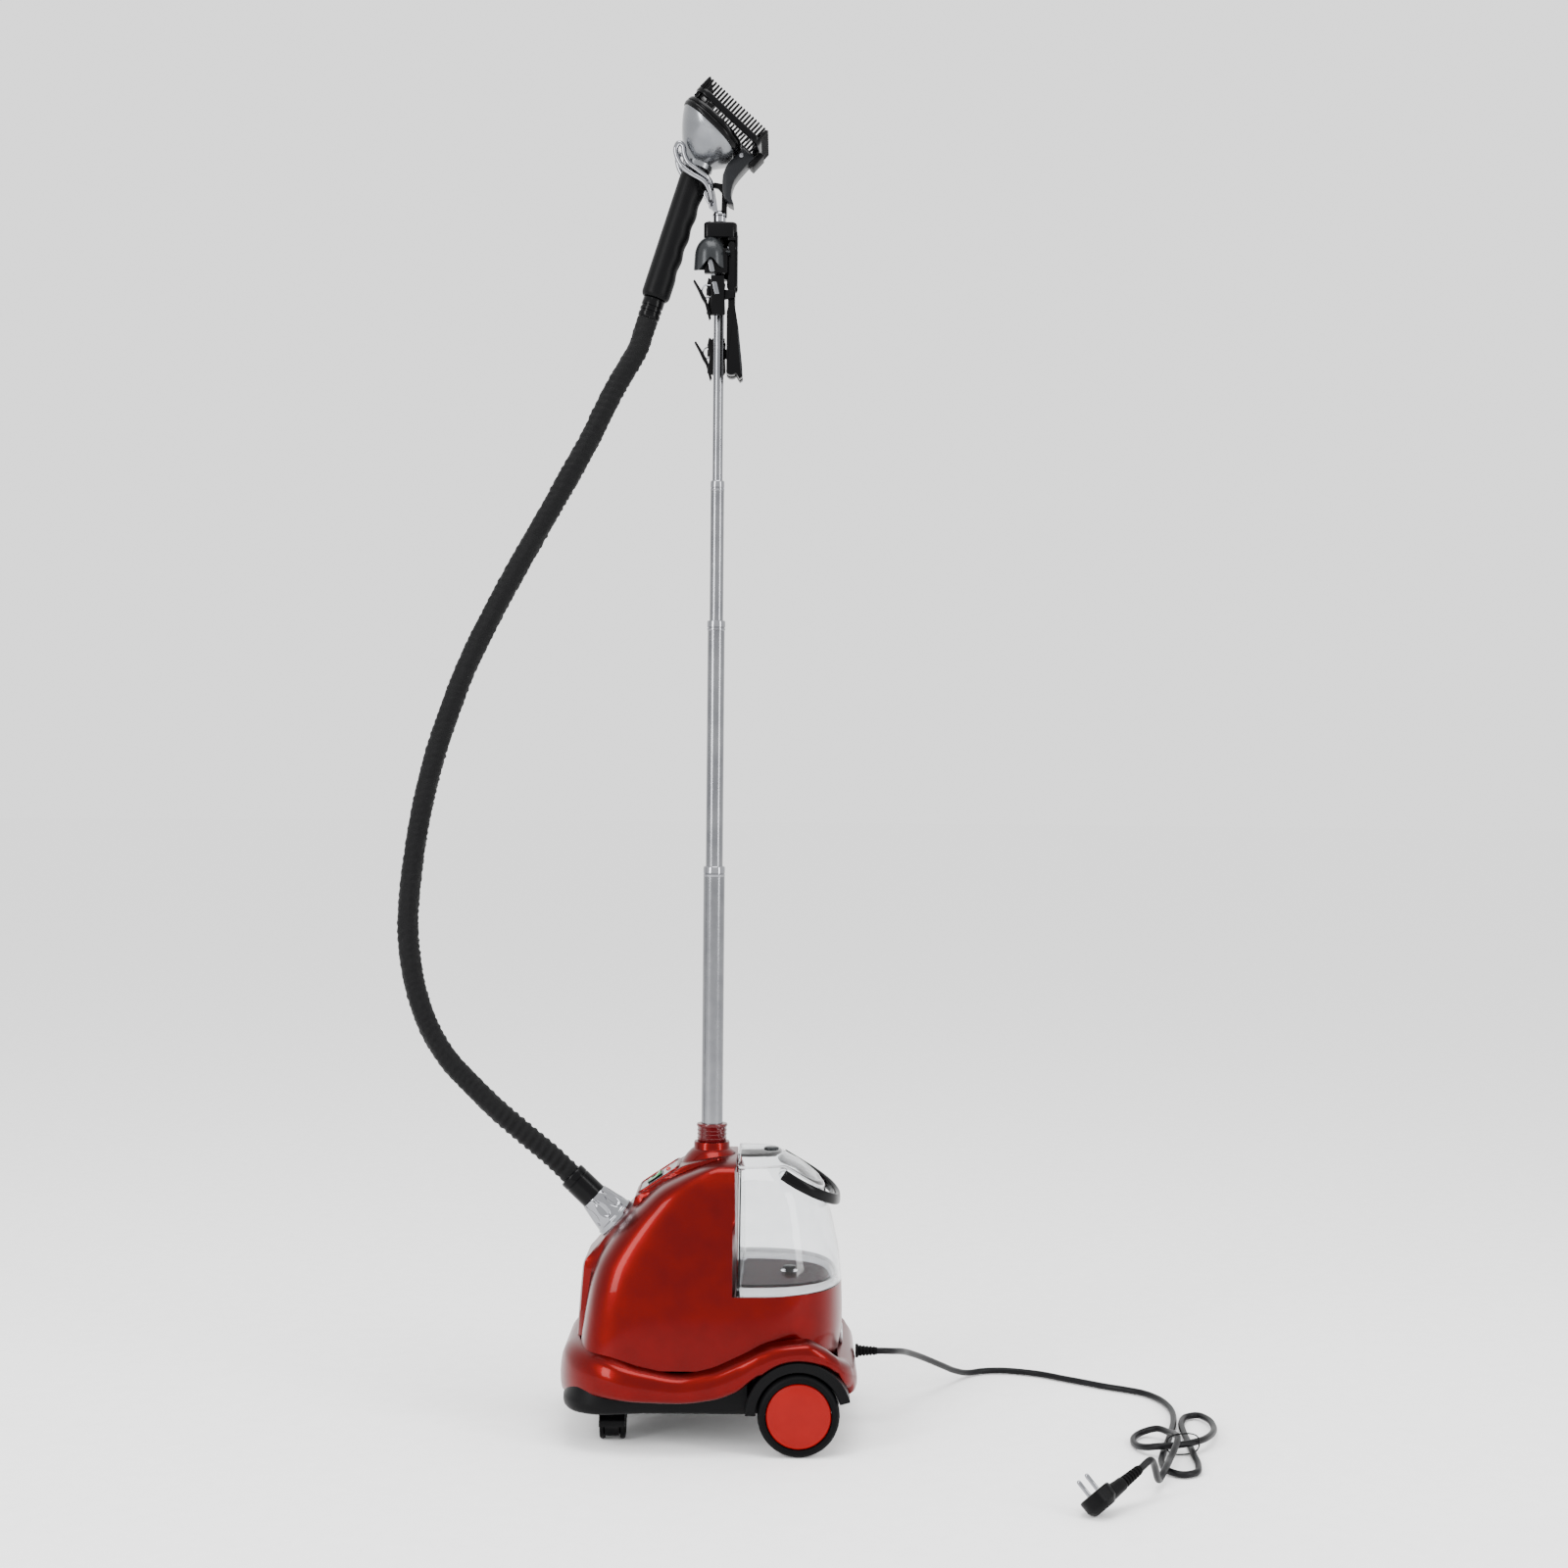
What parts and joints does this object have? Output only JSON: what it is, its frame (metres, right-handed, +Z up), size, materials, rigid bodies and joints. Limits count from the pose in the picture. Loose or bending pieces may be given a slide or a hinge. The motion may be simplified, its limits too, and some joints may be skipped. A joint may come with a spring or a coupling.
{
  "type": "garment steamer",
  "caption": "Upright garment steamer: wheeled base with lift-off water tank, telescopic mast with folding hanger and hook, brush handset on a sheathed hose, mains lead with plug.",
  "frame": {"origin": "on the floor, under the middle of the base, on the mast's axis", "axes": "+Z up along the mast, -X towards the hose connection, +X towards the water tank and rear wheels"},
  "size_m": [0.966, 0.5591, 1.5566],
  "materials": {
    "red_gloss_plastic": "pearl red moulded ABS, gloss",
    "dark_red_plastic": "translucent dark red plastic, satin",
    "black_plastic": "fine grained black plastic",
    "black_rubber": "matt black rubber or PVC",
    "hose_sheath": "woven black polyester sleeve, gathered",
    "clear_plastic": "clear moulded polycarbonate",
    "chrome": "bright chrome plate",
    "silver_plastic": "silver painted plastic",
    "aluminium": "drawn and polished tube",
    "grey_plastic": "dark grey plastic, satin",
    "green_lens": "green lit rocker",
    "red_lens": "red lamp lens"
  },
  "bodies": {
    "root": {"chassis_pan": "black_plastic", "skirt": "red_gloss_plastic", "body_shell": "red_gloss_plastic", "control_panel": "silver_plastic", "indicator_lamp": "red_lens", "boiler": "aluminium", "thermostat": "silver_plastic", "steam_pipe": "grey_plastic", "steam_outlet": "silver_plastic", "feed_pipe": "grey_plastic", "valve_seat": "black_plastic", "hose_cuff": "black_plastic", "mast_section_1": "aluminium", "rear_axle": "aluminium", "steam_hose": "hose_sheath", "cord_gland": "black_rubber", "mains_lead": "black_rubber", "plug_lead": "black_rubber", "cord_hank": "black_rubber", "cord_tie": "black_plastic", "plug_body": "black_plastic", "plug_pin_1": "chrome", "plug_pin_2": "chrome", "plug_strain_relief": "black_rubber"},
    "switch": {"power_switch": "green_lens"},
    "nut": {"hose_nut": "chrome"},
    "collar": {"mast_collar": "dark_red_plastic"},
    "mast_2": {"mast_section_2": "aluminium"},
    "mast_3": {"mast_section_3": "aluminium"},
    "mast_top": {"mast_section_4": "aluminium", "hanger_bracket": "black_plastic", "hinge_cover": "grey_plastic", "cradle_fork": "chrome"},
    "arm_near": {"hanger_arm_near": "black_plastic", "clip_body_near": "black_plastic"},
    "jaw_near": {"clip_jaw_near": "silver_plastic"},
    "arm_far": {"hanger_arm_far": "black_plastic", "clip_body_far": "black_plastic"},
    "jaw_far": {"clip_jaw_far": "silver_plastic"},
    "handset": {"handset_grip": "black_plastic", "handset_hose_collar": "black_rubber", "handset_cup": "silver_plastic", "handset_bezel": "black_plastic", "steam_plate": "aluminium"},
    "brush": {"brush_frame": "black_plastic"},
    "clamp": {"clamp_lever": "grey_plastic"},
    "tank": {"tank_shell": "clear_plastic", "tank_lid": "clear_plastic"},
    "bail": {"tank_bail": "black_plastic"},
    "cap": {"fill_cap": "grey_plastic"},
    "valve": {"tank_valve": "black_plastic"},
    "wheel_left": {"wheel_near": "black_rubber", "hub_cap_near": "red_gloss_plastic"},
    "wheel_right": {"wheel_far": "black_rubber", "hub_cap_far": "red_gloss_plastic"},
    "caster_near": {"caster_hood_near": "black_plastic"},
    "caster_near_roll": {"caster_wheels_near": "black_rubber"},
    "caster_far": {"caster_hood_far": "black_plastic"},
    "caster_far_roll": {"caster_wheels_far": "black_rubber"}
  },
  "joints": [
    {"name": "mast_height", "type": "slide", "parent": "root", "child": "mast_top", "axis": [0, 0, 1], "range_m": [-0.5, 0], "deforming": ["steam_hose"]},
    {"name": "mast_3_slide", "type": "slide", "parent": "root", "child": "mast_3", "axis": [0, 0, 1], "range_m": [-0.36, 0]},
    {"name": "mast_2_slide", "type": "slide", "parent": "root", "child": "mast_2", "axis": [0, 0, 1], "range_m": [-0.22, 0]},
    {"name": "collar_lock", "type": "hinge", "parent": "root", "child": "collar", "pos_m": [0, 0, 0.34], "axis": [0, 0, 1], "range_deg": [0, 60]},
    {"name": "nut_turn", "type": "hinge", "parent": "root", "child": "nut", "pos_m": [-0.109, 0, 0.235], "axis": [-0.7254, 0, 0.6884], "continuous": true},
    {"name": "switch_rock", "type": "hinge", "parent": "root", "child": "switch", "pos_m": [-0.0647, 0, 0.2842], "axis": [0, 1, 0], "range_deg": [0, 14]},
    {"name": "handset_lift", "type": "slide", "parent": "mast_top", "child": "handset", "axis": [0.304, 0, 0.9527], "range_m": [0, 0.12], "deforming": ["steam_hose"]},
    {"name": "brush_pull", "type": "slide", "parent": "handset", "child": "brush", "axis": [0.6782, 0, 0.7349], "range_m": [0, 0.025]},
    {"name": "clamp_squeeze", "type": "hinge", "parent": "handset", "child": "clamp", "pos_m": [0.0241, 0, 1.4789], "axis": [0, 1, 0], "range_deg": [0, 10], "stiffness_Nm_per_rad": 0.6, "springref_deg": -11.46},
    {"name": "arm_near_fold", "type": "hinge", "parent": "mast_top", "child": "arm_near", "pos_m": [0.015, -0.01, 1.373], "axis": [1, 0, 0], "range_deg": [-95, 0]},
    {"name": "arm_far_fold", "type": "hinge", "parent": "mast_top", "child": "arm_far", "pos_m": [0.015, 0.01, 1.373], "axis": [1, 0, 0], "range_deg": [0, 95]},
    {"name": "jaw_near_open", "type": "hinge", "parent": "arm_near", "child": "jaw_near", "pos_m": [0, -0.0225, 1.317], "axis": [1, 0, 0], "range_deg": [-12, 0], "stiffness_Nm_per_rad": 0.05, "springref_deg": 20.05},
    {"name": "jaw_far_open", "type": "hinge", "parent": "arm_far", "child": "jaw_far", "pos_m": [0, 0.0225, 1.255], "axis": [1, 0, 0], "range_deg": [0, 12], "stiffness_Nm_per_rad": 0.05, "springref_deg": -20.05},
    {"name": "tank_lift", "type": "slide", "parent": "root", "child": "tank", "axis": [0, 0, 1], "range_m": [0, 0.16]},
    {"name": "bail_lift", "type": "hinge", "parent": "tank", "child": "bail", "pos_m": [0.084, 0, 0.302], "axis": [0, 1, 0], "range_deg": [-110, 0]},
    {"name": "cap_pull", "type": "slide", "parent": "tank", "child": "cap", "axis": [0, 0, 1], "range_m": [0, 0.02]},
    {"name": "valve_open", "type": "slide", "parent": "tank", "child": "valve", "axis": [0, 0, 1], "range_m": [0, 0.004], "stiffness_N_per_m": 120, "springref_m": -0.003},
    {"name": "wheel_left_spin", "type": "hinge", "parent": "root", "child": "wheel_left", "pos_m": [0.103, -0.13, 0.046], "axis": [0, 1, 0], "continuous": true},
    {"name": "wheel_right_spin", "type": "hinge", "parent": "root", "child": "wheel_right", "pos_m": [0.103, 0.13, 0.046], "axis": [0, 1, 0], "continuous": true},
    {"name": "caster_near_swivel", "type": "hinge", "parent": "root", "child": "caster_near", "pos_m": [-0.108, -0.075, 0.03], "axis": [0, 0, 1], "continuous": true},
    {"name": "caster_near_spin", "type": "hinge", "parent": "caster_near", "child": "caster_near_roll", "pos_m": [-0.108, -0.069, 0.017], "axis": [1, 0, 0], "continuous": true},
    {"name": "caster_far_swivel", "type": "hinge", "parent": "root", "child": "caster_far", "pos_m": [-0.108, 0.075, 0.03], "axis": [0, 0, 1], "continuous": true},
    {"name": "caster_far_spin", "type": "hinge", "parent": "caster_far", "child": "caster_far_roll", "pos_m": [-0.108, 0.081, 0.017], "axis": [1, 0, 0], "continuous": true}
  ],
  "couplings": [
    {"joint": "mast_3_slide", "follows": "mast_height", "ratio": 0.72},
    {"joint": "mast_2_slide", "follows": "mast_height", "ratio": 0.44}
  ]
}
